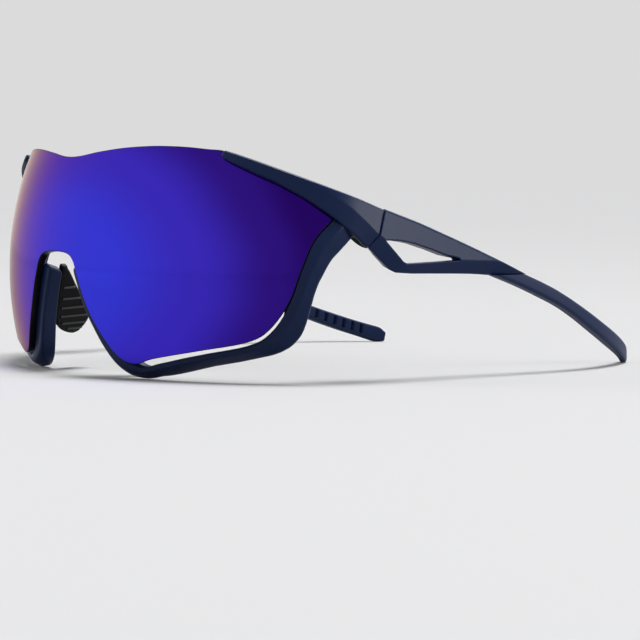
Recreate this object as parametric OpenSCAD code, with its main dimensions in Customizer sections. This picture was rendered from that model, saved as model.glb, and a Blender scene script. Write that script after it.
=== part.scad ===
// Wraparound sport sunglasses: a spherical shield lens carried by two half frames,
// with folding side arms. Millimetres, +Z up, the lens faces -Y, +X is the wearer's left.
// Shapes on the front are drawn in unrolled coordinates: a runs sideways along the lens
// surface from the middle, h runs up it from the mid-line, p stands out from it.

/* [Lens] */
// Radius of the lens's spherical front
lens_r = 88; // [84:1:94]
// Thickness of the lens
lens_t = 2; // [1.6:0.1:2.4]
// Height of the top edge above the mid-line
lens_rise = 33.5; // [32:0.5:35]
// Depth of the lower edge below the mid-line
lens_drop = 22; // [20:0.5:24]
// How far the top edge dips at the middle
crown_dip = 2; // [0.5:0.1:3]
// Half width of the lens
lens_half = 84; // [82:0.5:87]
// Height of the outer corner above the mid-line
corner_rise = 15.3; // [14.8:0.1:16]
// Half distance between the two nose corners
notch_half = 29; // [27:0.5:31]
// Height of the nose notch above the mid-line
notch_rise = 6.3; // [4:0.1:8]

/* [Lower rims] */
// Width of the rim beside the lens
rim_side_w = 5.3; // [4.6:0.1:6]
// Width of the rim under the lens
rim_under_w = 2.8; // [2.2:0.1:3.4]
// How far the rim stands proud of the lens
rim_proud = 0.8; // [0.4:0.1:1.2]
// Depth of the rim behind the lens's front
rim_d = 4.1; // [3.4:0.1:4.8]
// Height of the foot under the nose corner
foot_w = 4.4; // [3.8:0.1:5]
// Height of the vent slot under the lens
vent_gap = 1.5; // [0.8:0.1:2]
// Depth of the nose post behind the lens
post_d = 6; // [5:0.25:7]
// Thickness of the nose post
post_t = 3.2; // [2.8:0.1:3.6]

/* [Brow arms] */
// Length of the brow arm from its tip to the hinge seam
arm_l = 43; // [40:0.5:46]
// Height of the brow arm at the hinge seam
arm_h = 9.3; // [8.8:0.1:9.8]
// Thickness of the brow arm at the hinge seam
arm_t = 5; // [4.6:0.1:5.4]
// How far the brow arm stands proud of the lens
arm_proud = 2.2; // [1.8:0.1:2.6]
// Height of the seam's top above the mid-line
seam_rise = 16.9; // [16.4:0.1:17.4]
// Distance from the lens's outer corner to the seam's top
seam_reach = 14.1; // [13.5:0.1:15]
// Radius of the turn from the lens to the side
turn_r = 22; // [20:1:25]

/* [Hinges] */
// Radius of the hinge knuckles
barrel_r = 2.2; // [2:0.1:2.4]
// Radius of the hinge pin and the small screws
pin_r = 0.8; // [0.6:0.05:0.9]
// Thickness of the leaf on the temple
leaf_t = 1.9; // [1.5:0.1:2.2]
// Length of the leaf behind the pin
leaf_l = 9.5; // [9:0.5:10.5]
// Length of the hinge block in front of the pin
block_l = 5.8; // [5.5:0.1:6.5]

/* [Temples] */
// Length of a side arm from the seam to the tip
temple_l = 99.6; // [92:0.5:108]
// Thickness of the temple arm
temple_t = 3.6; // [3.2:0.1:4]
// Radius of the ear piece's inward bend
bow_r = 66; // [60:1:80]
// Straight length behind the seam before the bend
straight_l = 56; // [50:1:60]
// Thickness of the ear grip
grip_t = 3.8; // [3.4:0.1:4.4]
// Thickness of the tang inside the grip
tang_t = 1.4; // [1:0.1:1.6]
// Height of the tang inside the grip
tang_h = 1.5; // [1.2:0.1:1.7]
// Spacing of the grooves on the grip's inner face
groove_pitch = 3.5; // [3.2:0.1:3.6]
// Width of a groove
groove_w = 0.9; // [0.6:0.1:1.2]
// Depth of a groove
groove_d = 0.5; // [0.3:0.1:0.6]
// Number of grooves
groove_n = 12; // [8:1:12]

/* [Nose pads] */
// How far the pad reaches behind its post
pad_reach = 11; // [9:0.5:12]
// Thickness of the pad
pad_t = 2.6; // [2:0.1:3]
// Number of ribs on the pad
pad_ribs = 6; // [4:1:8]
// Height of a rib
rib_d = 0.45; // [0.2:0.05:0.6]
// Radius of the peg that holds the pad
peg_r = 0.9; // [0.7:0.05:1]
// Length of the peg in the post
peg_l = 2.5; // [2:0.1:3]

/* [Fits] */
// Gap between pieces that are seated on each other
seat_gap = 0.12; // [0.08:0.01:0.16]
// Radial clearance of a pin in its bore
run_gap = 0.05; // [0.03:0.01:0.08]
// Gap between the hinge knuckles
knuckle_gap = 0.2; // [0.15:0.05:0.35]
// Gap at the seam between brow arm and temple
seam_open = 0.4; // [0.3:0.05:0.6]

/* [Hidden] */
$fn = 48;
far = 400;
spline_steps = 3;
lens_rows = 6;

// Colours
mirror_blue = [0.16, 0.14, 0.62];
navy = [0.08, 0.12, 0.28];
black = [0.05, 0.05, 0.06];
steel = [0.7, 0.7, 0.72];

// The front surface: a sphere that turns to the side at turn_a
turn_lon = 49;
turn_a = lens_r * turn_lon * PI / 180;
side_a = turn_a + turn_r * (90 - turn_lon) * PI / 180;
turn_x = (lens_r - turn_r) * sin(turn_lon);
turn_y = lens_r - (lens_r - turn_r) * cos(turn_lon);
foot_cut = 0.1;
mid_z = lens_r * sin((lens_drop + foot_w) / lens_r * 180 / PI) - foot_cut;

function degs(arc, r) = arc / r * 180 / PI;
function lerp(p, q, t) = p + (q - p) * t;

function wrap(a, h, p) =
  let (
    lat = degs(h, lens_r),
    flat_r = (lens_r + p) * cos(lat),
    z = mid_z + (lens_r + p) * sin(lat),
    s = a < 0 ? -1 : 1,
    side = abs(a),
    lon = degs(side, lens_r),
    bend = turn_lon + degs(side - turn_a, turn_r),
    bend_r = turn_r + flat_r - lens_r
  )
  side <= turn_a ? [s * flat_r * sin(lon), lens_r - flat_r * cos(lon), z] :
  side <= side_a ? [s * (turn_x + bend_r * sin(bend)), turn_y - bend_r * cos(bend), z] :
  [s * (turn_x + bend_r), turn_y + side - side_a, z];

// Smooth curve through a list of points, whose first point lies on the mirror plane
function blend4(p, q, r, s, t) =
  0.5 * ((2 * q) + (r - p) * t + (2 * p - 5 * q + 4 * r - s) * t * t + (3 * q - p - 3 * r + s) * t * t * t);
function before(pts, i, even) = i > 0 ? pts[i - 1] : even ? [-pts[1][0], pts[1][1]] : 2 * pts[0] - pts[1];
function after(pts, i) = i + 2 < len(pts) ? pts[i + 2] : 2 * pts[i + 1] - pts[i];
function on_curve(pts, u, even = false) =
  let (i = min(floor(u), len(pts) - 2))
  blend4(before(pts, i, even), pts[i], pts[i + 1], after(pts, i), u - i);
function curve(pts, steps, even = false) =
  [for (k = [0 : steps * (len(pts) - 1)]) on_curve(pts, k / steps, even)];

// A closed skin over rings that run clockwise as seen along the path
module loft(rings) {
  n = len(rings[0]);
  last = len(rings) - 1;
  points = [for (ring = rings) for (p = ring) p];
  walls = [
    for (i = [0 : last - 1], j = [0 : n - 1])
      let (k = (j + 1) % n, a = i * n + j, b = a + n, c = i * n + n + k, d = i * n + k)
      each [[a, b, c], [a, c, d]]
  ];
  start = [for (j = [0 : n - 1]) j];
  end = [for (j = [n - 1 : -1 : 0]) last * n + j];
  polyhedron(points, concat(walls, [start, end]), convexity = 8);
}

// Lens outline: the lower edge from the notch's top to the outer corner, as shares
notch_shape = [
  [0, 0], [0.2, 0.03], [0.3, 0.13], [0.36, 0.25], [0.52, 0.53], [0.7, 0.81], [0.85, 0.965], [1, 1]
];
side_shape = [
  [0.11, 0.043], [0.36, 0.113], [0.59, 0.185], [0.7, 0.26],
  [0.794, 0.45], [0.85, 0.665], [0.907, 0.853], [1, 1]
];
low_edge = concat(
  [for (s = notch_shape) [s[0] * notch_half, notch_rise - s[1] * (notch_rise + lens_drop)]],
  [
    for (s = side_shape)
      [notch_half + s[0] * (lens_half - notch_half), s[1] * (corner_rise + lens_drop) - lens_drop]
  ]
);
corner_u = len(low_edge) - 1;

// Brow arm: its top line, its height and its crease along the arm, as shares of its length
seam_a = lens_half + seam_reach;
tip_a = seam_a - arm_l;
tip_drop = 2.1;
seam_lean = 0.6;
arm_bow = [[0, 0], [0.05, 0.5], [0.2, 0.9], [0.35, 0.8], [0.5, 0.65], [0.65, 0.5], [0.85, 0.35], [1, 0.15]];
arm_depth = [
  [0, 0.12], [0.046, 0.22], [0.195, 0.28], [0.35, 0.31], [0.487, 0.4],
  [0.622, 0.505], [0.72, 0.6], [0.828, 0.775], [1, 1]
];
crease_end = 0.68;
arm_crease = [[0, 0.4], [0.3, 0.2], [0.487, 0.14], [0.66, 0.3], [0.84, 0.49], [1, crease_end]];
arm_face = [[0, 0.4], [0.2, 0.8], [0.4, 1], [1, 1]];
function arm_top(f) = [tip_a + f * arm_l, lerp(lens_rise - tip_drop, seam_rise, f) + lookup(f, arm_bow)];
function arm_at(f, v) =
  let (top = arm_top(f), d = arm_h * lookup(f, arm_depth), lead = d * (0.35 + (seam_lean - 0.35) * f * f))
  top - v * [lead, d];

// Lens top edge: free over the middle, tucked behind the brow arm further out
tuck = 2;
top_free = [
  [0, 1], [0.05, 0.95], [0.095, 0.7], [0.13, 0.47], [0.18, 0.27], [0.226, 0.1],
  [0.274, 0], [0.333, 0], [0.405, 0.05], [0.5, 0.15], [0.595, 0.4]
];
top_tucked = [0.085, 0.25, 0.44, 0.626];
top_edge = concat(
  [for (s = top_free) [s[0] * lens_half, lens_rise - s[1] * crown_dip]],
  [[tip_a - 1, lens_rise - 0.75 * crown_dip]],
  [for (f = top_tucked) arm_top(f) - [0, tuck]]
);

module shield_lens() {
  top = curve(top_edge, spline_steps, true);
  low = curve(low_edge, spline_steps, true);
  last = len(low) - 1;
  at = function (i, r)
    let (q = lerp(top[abs(i)], low[abs(i)], r / lens_rows))
    [q[0] * (i < 0 ? -1 : 1), q[1]];
  color(mirror_blue)
  place()
  loft([
    for (i = [-last : last]) concat(
      [for (r = [0 : lens_rows]) let (q = at(i, r)) wrap(q[0], q[1], 0)],
      [for (r = [lens_rows : -1 : 0]) let (q = at(i, r)) wrap(q[0], q[1], -lens_t)]
    )
  ]);
}

// Brow arm: a flange on the lens's front that thickens behind the lens's end
seat_p = -lens_t - seat_gap;
arm_in = arm_proud - arm_t;
inner_lean = 0.9;
thick_f = (lens_half + 3 - tip_a) / arm_l;
thick_step = 0.004;
arm_steps = 24;
lip_t = 1.5;
lip_from = 0.52;
lip_to = thick_f + 0.07;
facet = 0.7;
function arm_ring(f) =
  let (
    p = arm_proud * lookup(f, arm_face),
    k = lookup(f, arm_crease),
    thick = f > thick_f,
    low = arm_at(f, 1),
    top = arm_at(f, 0),
    top_in = thick ? arm_in + inner_lean : seat_gap,
    low_in = thick ? arm_in : seat_gap,
    edge = arm_at(f, 0.06),
    mid = arm_at(f, k)
  )
  [
    wrap(edge[0], edge[1], p - facet * 0.4 * f),
    wrap(mid[0], mid[1], p),
    wrap(low[0], low[1], p - facet * f),
    wrap(low[0], low[1], low_in),
    wrap(top[0], top[1], top_in),
    wrap(top[0], top[1], p - facet)
  ];
function lip_ring(f) =
  let (top = arm_at(f, 0.12), low = arm_at(f, 0.93))
  [
    wrap(top[0], top[1], seat_p),
    wrap(low[0], low[1], seat_p),
    wrap(low[0], low[1], seat_p - lip_t),
    wrap(top[0], top[1], seat_p - lip_t)
  ];
module brow_arm() {
  steps = [for (i = [0 : arm_steps]) i / arm_steps];
  front = [for (f = steps) if (f < thick_f - 2 * thick_step) f];
  rear = [for (f = steps) if (f > thick_f + 2 * thick_step) f];
  color(navy)
  place()
  difference() {
    union() {
      loft([for (f = concat(front, [thick_f - thick_step, thick_f + thick_step], rear)) arm_ring(f)]);
      loft([for (i = [0 : 6]) lip_ring(lerp(lip_from, lip_to, i / 6))]);
    }
    along_x(x_in - 1, 1 + screw_bite + seat_gap, pin_r + run_gap, frame_screw_y, frame_screw_z);
  }
}

// Lower rim: follows the lens's lower edge at a gap, with a ledge behind the lens
post_u = 2.55;
rim_top_u = corner_u - 0.06;
post_lip = 0.7;
rim_chamfer = 0.4;
rim_gap = [[6.6, seat_gap], [7.6, vent_gap], [11, vent_gap], [12.1, seat_gap]];
rim_w = [
  [3.4, post_lip], [4, 1.4], [4.5, 1.8], [5, 2.1], [6, 3], [7, foot_w - 0.3], [8, rim_under_w + 0.4],
  [9, rim_under_w], [10, rim_under_w + 0.4], [11, rim_side_w - 0.8], [11.6, rim_side_w], [13, rim_side_w],
  [14, rim_side_w + 0.5], [15, rim_side_w + 0.7]
];
rim_ledge = [[3.6, post_t], [5, post_t - 0.2], [6.5, 1.8], [7.4, 0.4], [11.2, 0.4], [12.2, 1.8]];
rim_face = [[3.4, seat_p + 0.6], [4, -1.2], [5, -1], [6, -0.3], [7, rim_proud]];
rim_back = [
  [4, seat_p - post_d], [5, seat_p - post_d + 1], [6, -6], [7, -5.4], [8, -rim_d - 0.4], [10, -rim_d]
];
rim_flare = [[5, 0], [6, 1], [6.6, 1.6], [7, 1.3], [7.6, 0.2], [8, 0]];
function heading(u) = on_curve(low_edge, u + 0.05, true) - on_curve(low_edge, u - 0.05, true);
function out_of_lens(u) = let (d = heading(u)) [d[1], -d[0]] / norm(d);
function rim_at(u, b, p) = let (q = on_curve(low_edge, u, true) + out_of_lens(u) * b) wrap(q[0], q[1], p);
function rim_ring(u) =
  let (
    gap = lookup(u, rim_gap),
    rim = gap + lookup(u, rim_w),
    back = rim + lookup(u, rim_flare),
    ledge = gap - lookup(u, rim_ledge),
    face = lookup(u, rim_face),
    rear = lookup(u, rim_back),
    c = min(rim_chamfer, lookup(u, rim_w) / 3)
  )
  [
    rim_at(u, gap, face),
    rim_at(u, rim - c, face),
    rim_at(u, rim, face - c),
    rim_at(u, back, rear + c),
    rim_at(u, back - c, rear),
    rim_at(u, ledge, rear),
    rim_at(u, ledge, seat_p),
    rim_at(u, gap, seat_p)
  ];
rim_steps = 52;
module lower_rim() {
  color(navy)
  place()
  difference() {
    loft([for (i = [0 : rim_steps]) rim_ring(lerp(post_u, rim_top_u, i / rim_steps))]);
    translate([-far, -far, -far]) cube([2 * far, 2 * far, far]);
    pad_peg(peg_r + run_gap, seat_gap);
  }
}

// Nose pad: a ribbed soft blade behind the post, splayed away from the nose
pad_p = seat_p - post_d - seat_gap;
pad_u = [2.7, 5.3];
pad_splay = 0.35;
pad_round = 0.8;
pad_shape = [[0, 0.35], [0.15, 0.8], [0.4, 1], [0.85, 1], [0.94, 0.9], [1, 0.7]];
peg_u = 3.7;
rib_rings = 4;
function pad_ring(t, rib) =
  let (
    u = lerp(pad_u[0], pad_u[1], t),
    d = pad_reach * lookup(t, pad_shape),
    nose = post_lip + rib - rib_d
  )
  [
    rim_at(u, nose, pad_p),
    rim_at(u, nose - pad_splay * d, pad_p - d + pad_round),
    rim_at(u, -pad_splay * d - pad_t / 2, pad_p - d),
    rim_at(u, -pad_splay * d - pad_t, pad_p - d + pad_round),
    rim_at(u, post_lip - pad_t, pad_p)
  ];
module pad_peg(r, extra) {
  root = rim_at(peg_u, post_lip - pad_t / 2, pad_p);
  translate(root + [0, -peg_l - extra, 0]) rotate([-90, 0, 0]) cylinder(h = peg_l + extra + 1, r = r);
}
module nose_pad() {
  last = pad_ribs * rib_rings;
  color(black)
  place() {
    loft([
      for (i = [0 : last])
        let (s = i % rib_rings)
        pad_ring(i / last, s == 1 || s == 2 ? rib_d : 0)
    ]);
    pad_peg(peg_r, 0);
  }
}

// Hinge places, taken from the brow arm's end
seam_top = wrap(seam_a, seam_rise, arm_proud);
seam_foot = wrap(seam_a - arm_h * seam_lean, seam_rise - arm_h, arm_proud);
side_inset = 0.2;
side_x = wrap(seam_a, seam_rise - crease_end * arm_h, arm_proud)[0] - side_inset;
pin_inset = 1.8;
block_a = seam_a - pin_inset - block_l;
function inner_top(a) = wrap(a, arm_top((a - tip_a) / arm_l)[1], arm_in + inner_lean)[0];
function inner_foot(a) = wrap(a, seam_rise - arm_h, arm_in)[0];
x_in = min([for (a = [block_a, seam_a]) min(inner_top(a), inner_foot(a))]);
temple_in = side_x - temple_t;
barrel_inset = 0.9;
hinge_x = x_in - barrel_r - barrel_inset;
hinge_y = seam_top[1] - pin_inset;
block_foot = 2.1;
block_head = 0.8;
block_gap = 0.2;
block_z0 = seam_foot[2] + block_foot;
block_z1 = seam_top[2] - block_head;
knuckle_h = (block_z1 - block_z0 - 2 * knuckle_gap) / 3;
leaf_z0 = block_z0 + knuckle_h + knuckle_gap;
block_x0 = hinge_x - barrel_r;
block_x1 = x_in - block_gap;
block_y0 = hinge_y - block_l;
leaf_x1 = temple_in - seat_gap;
leaf_x0 = leaf_x1 - leaf_t;
leaf_flange = 2;
leaf_from = 5;
block_nose_h = 3.2;
screw_bite = 2.6;
head_r = 1.3;
head_h = 0.7;
slot_w = 0.4;
screw_inset = 1.7;
leaf_screw_inset = 2.2;
frame_screw_y = block_y0 + screw_inset;
frame_screw_z = block_z1 - screw_inset;
leaf_screw_y = hinge_y + leaf_l - leaf_screw_inset;
leaf_screw_z = leaf_z0 + (knuckle_h - leaf_flange) / 2;
reach = seam_top[1] + temple_l;

module place() { translate([0, -reach / 2, 0]) children(); }
module along_x(x, l, r, y, z) { translate([x, y, z]) rotate([0, 90, 0]) cylinder(h = l, r = r); }
module across_x(x, l) { translate([x, 0, 0]) rotate([90, 0, 90]) linear_extrude(l) children(); }
module pin_bore() {
  translate([hinge_x, hinge_y, block_z0 - 1]) cylinder(h = block_z1 - block_z0 + 2, r = pin_r + run_gap);
}

module hinge_block() {
  color(black)
  place()
  difference() {
    union() {
      across_x(block_x0, block_x1 - block_x0)
      polygon([
        [block_y0, block_z1 - block_nose_h], [block_y0, block_z1], [hinge_y, block_z1],
        [hinge_y, block_z0], [hinge_y - 1, block_z0]
      ]);
      translate([hinge_x, hinge_y, block_z0]) cylinder(h = block_z1 - block_z0, r = barrel_r);
    }
    translate([block_x0 - 1, hinge_y - barrel_r - 2 * knuckle_gap, leaf_z0 - knuckle_gap])
    cube([far, far, knuckle_h + 2 * knuckle_gap]);
    pin_bore();
    along_x(block_x0 - 1, far, pin_r + run_gap, frame_screw_y, frame_screw_z);
  }
}

module hinge_leaf() {
  color(steel)
  place()
  difference() {
    translate([hinge_x, hinge_y, leaf_z0]) {
      cylinder(h = knuckle_h, r = barrel_r);
      linear_extrude(knuckle_h)
      polygon([
        [-1, 1.2], [leaf_x0 - hinge_x, leaf_from], [leaf_x0 - hinge_x, leaf_l],
        [leaf_x1 - hinge_x, leaf_l], [leaf_x1 - hinge_x, 1.6], [1, -0.5]
      ]);
      translate([leaf_x0 - hinge_x, leaf_from, -leaf_flange])
      cube([leaf_t, leaf_l - leaf_from, knuckle_h + leaf_flange]);
    }
    pin_bore();
    along_x(leaf_x0 - 1, far, pin_r + run_gap, leaf_screw_y, leaf_screw_z);
  }
}

// A screw standing on the origin: its shank points down and its slotted head up
module slotted_screw(shank) {
  translate([0, 0, -shank]) cylinder(h = shank, r = pin_r);
  difference() {
    cylinder(h = head_h, r = head_r);
    translate([-slot_w / 2, -far / 2, head_h / 2]) cube([slot_w, far, far]);
  }
}
module hinge_screw() {
  color(steel)
  place()
  translate([hinge_x, hinge_y, block_z1]) slotted_screw(block_z1 - block_z0);
}
module frame_screw() {
  color(steel)
  place()
  translate([block_x0, frame_screw_y, frame_screw_z])
  rotate([0, -90, 0])
  slotted_screw(x_in + screw_bite - block_x0);
}
module leaf_screw() {
  color(steel)
  place()
  translate([leaf_x0, leaf_screw_y, leaf_screw_z])
  rotate([0, -90, 0])
  slotted_screw(leaf_t + screw_bite - 2 * seat_gap);
}

// Side arm: a side outline, as shares of its length and of the seam's height, bent in plan
arm_top_line = [[0, 1], [0.112, 0.912], [0.221, 0.817], [0.314, 0.734], [0.388, 0.679], [0.463, 0.602]];
arm_low_line = [
  [0.348, 0.602], [0.332, 0.606], [0.247, 0.613], [0.138, 0.623], [0.031, 0.634], [0.015, 0.648]
];
window_line = [
  [0, 0.817], [0.029, 0.817], [0.082, 0.794], [0.147, 0.766], [0.199, 0.731], [0.243, 0.706],
  [0.238, 0.683], [0.069, 0.683], [0.059, 0.699]
];
grip_top_line = [
  [0.463, 0.602], [0.535, 0.539], [0.622, 0.444], [0.689, 0.368], [0.768, 0.285],
  [0.855, 0.207], [0.91, 0.157], [0.951, 0.116], [0.98, 0.086]
];
grip_tip_line = [[1, 0.05], [0.998, 0.012], [0.98, -0.006]];
grip_low_line = [
  [0.965, 0.01], [0.93, 0.046], [0.875, 0.093], [0.806, 0.162], [0.734, 0.238], [0.659, 0.326],
  [0.596, 0.398], [0.534, 0.458], [0.447, 0.535], [0.358, 0.602]
];
tang_line = [[0.4, 0.615], [0.453, 0.566], [0.535, 0.498], [0.6, 0.43]];
grip_mid_line = [
  [0.453, 0.566], [0.535, 0.498], [0.622, 0.407], [0.689, 0.33], [0.768, 0.243], [0.855, 0.158],
  [0.93, 0.092]
];
bow_y = seam_top[1] + straight_l;
bow_x = side_x - bow_r;
grip_out = 0.1;
arm_layers = 3;
layer_rise = 0.5;
layer_back = 0.3;
grip_in_r = bow_r + grip_out - grip_t;
grip_slope = 24;
groove_l = 2.2;
groove_from = 2;
function side_at(s) = [seam_top[1] + s[0] * temple_l, s[1] * seam_top[2]];
function side_line(pts) = [for (s = pts) side_at(s)];
function raised(pts, rise) = [for (i = [0 : len(pts) - 1]) pts[i] + [0, i < 1 ? 0 : rise]];

// The plan of a side arm between two radii of the bend
module bowed(outer, t) {
  translate([0, 0, -far / 2])
  linear_extrude(far) {
    translate([bow_x + outer - t, 0]) square([t, bow_y]);
    intersection() {
      translate([bow_x, bow_y]) difference() {
        circle(outer);
        circle(outer - t);
      }
      translate([0, bow_y]) square(far);
    }
  }
}
module side_plate(outer, t) {
  intersection() {
    across_x(0, far) children();
    bowed(outer, t);
  }
}
module tang(gap) {
  half = tang_h / 2 + gap;
  mid = side_line(tang_line);
  end = mid[len(mid) - 1] + [gap, 0];
  rows = concat(mid, [end]);
  side_plate(bow_r + grip_out - grip_t / 2 + tang_t / 2 + gap, tang_t + 2 * gap)
  polygon(concat([for (q = rows) q + [0, half]], [for (i = [len(rows) - 1 : -1 : 0]) rows[i] - [0, half]]));
}

module temple_arm() {
  front = [[seam_foot[1] + seam_open, seam_foot[2]], [seam_top[1] + seam_open, seam_top[2]]];
  upper = [for (i = [1 : len(arm_top_line) - 1]) side_at(arm_top_line[i])];
  color(navy)
  place()
  difference() {
    union() {
      for (k = [0 : arm_layers - 1]) {
        rise = k * layer_rise;
        step = [k * layer_back, 0];
        foot = front[0] + step + [0, rise];
        side_plate(bow_r - k * temple_t / arm_layers, temple_t / arm_layers)
        difference() {
          polygon(concat([foot, front[1] + step], upper, raised(side_line(arm_low_line), rise)));
          polygon(side_line(window_line));
        }
      }
      tang(0);
    }
    along_x(temple_in - 1, 1 + screw_bite, pin_r + run_gap, leaf_screw_y, leaf_screw_z);
  }
}

module ear_grip() {
  seam = [0, -seat_gap];
  top = curve(side_line(grip_top_line), 2);
  low = curve(side_line(grip_low_line), 2);
  color(navy)
  place()
  difference() {
    side_plate(bow_r + grip_out, grip_t)
    polygon(concat([for (q = top) q + seam], side_line(grip_tip_line), [for (q = low) q + seam]));
    tang(seat_gap);
    translate([0, 0, -far]) cube([far, far, far]);
    for (i = [0 : groove_n - 1]) grip_groove(groove_from + i * groove_pitch);
  }
}
// A groove at a distance along the inner face from the start of the bend
module grip_groove(along) {
  turn = degs(along, grip_in_r);
  y = bow_y + grip_in_r * sin(turn);
  z = lookup((y - seam_top[1]) / temple_l, grip_mid_line) * seam_top[2];
  translate([bow_x + grip_in_r * cos(turn), y, z])
  rotate([-grip_slope, 0, turn])
  cube([2 * groove_d, groove_w, groove_l], center = true);
}

module right() { mirror([1, 0, 0]) children(); }

shield_lens();
brow_arm();  // brow_arm_left
right() brow_arm();  // brow_arm_right
lower_rim();  // lower_rim_left
right() lower_rim();  // lower_rim_right
nose_pad();  // nose_pad_left
right() nose_pad();  // nose_pad_right
hinge_block();  // hinge_block_left
right() hinge_block();  // hinge_block_right
hinge_screw();  // hinge_screw_left
right() hinge_screw();  // hinge_screw_right
frame_screw();  // frame_screw_left
right() frame_screw();  // frame_screw_right
hinge_leaf();  // hinge_leaf_left
right() hinge_leaf();  // hinge_leaf_right
leaf_screw();  // leaf_screw_left
right() leaf_screw();  // leaf_screw_right
temple_arm();  // temple_arm_left
right() temple_arm();  // temple_arm_right
ear_grip();  // ear_grip_left
right() ear_grip();  // ear_grip_right
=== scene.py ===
import bmesh
import bpy
import math
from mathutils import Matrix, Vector


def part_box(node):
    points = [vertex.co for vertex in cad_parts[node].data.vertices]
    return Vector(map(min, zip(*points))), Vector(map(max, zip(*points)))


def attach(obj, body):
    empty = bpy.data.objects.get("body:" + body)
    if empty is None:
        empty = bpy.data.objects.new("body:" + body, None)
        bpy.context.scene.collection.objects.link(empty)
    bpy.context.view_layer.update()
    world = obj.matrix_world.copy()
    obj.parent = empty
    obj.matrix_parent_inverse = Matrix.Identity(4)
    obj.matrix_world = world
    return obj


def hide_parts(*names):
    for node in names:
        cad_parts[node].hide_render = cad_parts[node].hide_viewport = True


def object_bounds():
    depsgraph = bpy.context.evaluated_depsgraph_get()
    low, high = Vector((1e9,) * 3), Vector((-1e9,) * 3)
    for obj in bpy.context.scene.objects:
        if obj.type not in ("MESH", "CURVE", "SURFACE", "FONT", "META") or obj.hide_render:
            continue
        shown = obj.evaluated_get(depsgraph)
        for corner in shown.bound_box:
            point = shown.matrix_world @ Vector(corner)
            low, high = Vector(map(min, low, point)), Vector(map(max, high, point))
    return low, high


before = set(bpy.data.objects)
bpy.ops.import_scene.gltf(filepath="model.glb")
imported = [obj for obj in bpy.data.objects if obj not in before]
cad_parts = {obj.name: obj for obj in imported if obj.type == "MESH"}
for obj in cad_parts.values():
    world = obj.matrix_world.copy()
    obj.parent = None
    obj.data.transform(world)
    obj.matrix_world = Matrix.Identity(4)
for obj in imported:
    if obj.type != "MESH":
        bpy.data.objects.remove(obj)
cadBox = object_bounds()
mm = 0.001
foreY = -cadBox[1].y  # the lens surface starts here, half the depth before the origin
sideSigns = {"left": 1, "right": -1}
print("frame loaded")

# Front surface in unrolled millimetres: a runs sideways, h up, p out of the lens
shell = {"radius": 88.0, "turnLon": 49.0, "turnRadius": 22.0, "footBelow": 26.4, "footCut": 0.1}
turnAngle = math.radians(shell["turnLon"])
turnA = shell["radius"] * turnAngle
sideA = turnA + shell["turnRadius"] * (math.pi / 2 - turnAngle)
turnX = (shell["radius"] - shell["turnRadius"]) * math.sin(turnAngle)
turnY = shell["radius"] - (shell["radius"] - shell["turnRadius"]) * math.cos(turnAngle)
midZ = shell["radius"] * math.sin(shell["footBelow"] / shell["radius"]) - shell["footCut"]


def onShell(a, h, p):
    lat = h / shell["radius"]
    flat = (shell["radius"] + p) * math.cos(lat)
    z = midZ + (shell["radius"] + p) * math.sin(lat)
    side = abs(a)
    sign = -1 if a < 0 else 1
    if side <= turnA:
        lon = side / shell["radius"]
        return Vector((sign * flat * math.sin(lon), shell["radius"] - flat * math.cos(lon), z))
    bendRadius = shell["turnRadius"] + flat - shell["radius"]
    if side <= sideA:
        bend = turnAngle + (side - turnA) / shell["turnRadius"]
        return Vector((sign * (turnX + bendRadius * math.sin(bend)), turnY - bendRadius * math.cos(bend), z))
    return Vector((sign * (turnX + bendRadius), turnY + side - sideA, z))


def mix(start, end, share):
    return start + (end - start) * share


def spaced(first, last, count):
    return [mix(first, last, k / count) for k in range(count + 1)]


def lookUp(table, x):
    if x <= table[0][0]:
        return table[0][1]
    for (x0, y0), (x1, y1) in zip(table, table[1:]):
        if x <= x1:
            return mix(y0, y1, (x - x0) / (x1 - x0))
    return table[-1][1]


def easedUp(table, x, spread, steps=4):
    around = [lookUp(table, x + spread * k / steps) for k in range(-steps, steps + 1)]
    return sum(around) / len(around)


def onCurve(points, u, even=False):
    i = min(max(int(u), 0), len(points) - 2)
    q, r = points[i], points[i + 1]
    mirrored = Vector((-points[1].x, points[1].y)) if even else 2 * q - r
    p = points[i - 1] if i > 0 else mirrored
    s = points[i + 2] if i + 2 < len(points) else 2 * r - q
    t = u - i
    bend = 2 * p - 5 * q + 4 * r - s
    twist = 3 * q - p - 3 * r + s
    return 0.5 * (2 * q + (r - p) * t + bend * t ** 2 + twist * t ** 3)


def evenLine(points, count, fine=12):
    dense = [onCurve(points, k / fine) for k in range(fine * (len(points) - 1) + 1)]
    lengths = [0.0]
    for p, q in zip(dense, dense[1:]):
        lengths.append(lengths[-1] + (q - p).length)
    line = []
    i = 0
    for k in range(count + 1):
        want = lengths[-1] * k / count
        while i < len(dense) - 2 and lengths[i + 1] < want:
            i += 1
        line.append(mix(dense[i], dense[i + 1], (want - lengths[i]) / (lengths[i + 1] - lengths[i])))
    return line


def pairs(table):
    return [Vector(p) for p in table]


# Mesh helpers
def roundCorners(corners, radii, steps=5, most=0.45):  # a rounding takes this share of an edge at most
    ring = []
    for i, corner in enumerate(corners):
        before = corners[i - 1] - corner
        after = corners[(i + 1) % len(corners)] - corner
        start = corner + before.normalized() * min(radii[i], most * before.length)
        end = corner + after.normalized() * min(radii[i], most * after.length)
        for t in spaced(0, 1, steps):
            ring.append(start * (1 - t) ** 2 + corner * 2 * t * (1 - t) + end * t ** 2)
    return ring


def softEnd(ring, onward, radius, steps=4):
    centre = sum(ring, Vector()) / len(ring)
    rings = []
    for k in range(1, steps + 1):
        turn = math.pi / 2 * k / steps
        inward = radius * (1 - math.cos(turn))
        outward = onward * radius * math.sin(turn)
        rings.append([p + (centre - p).normalized() * inward + outward for p in ring])
    return rings


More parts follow.
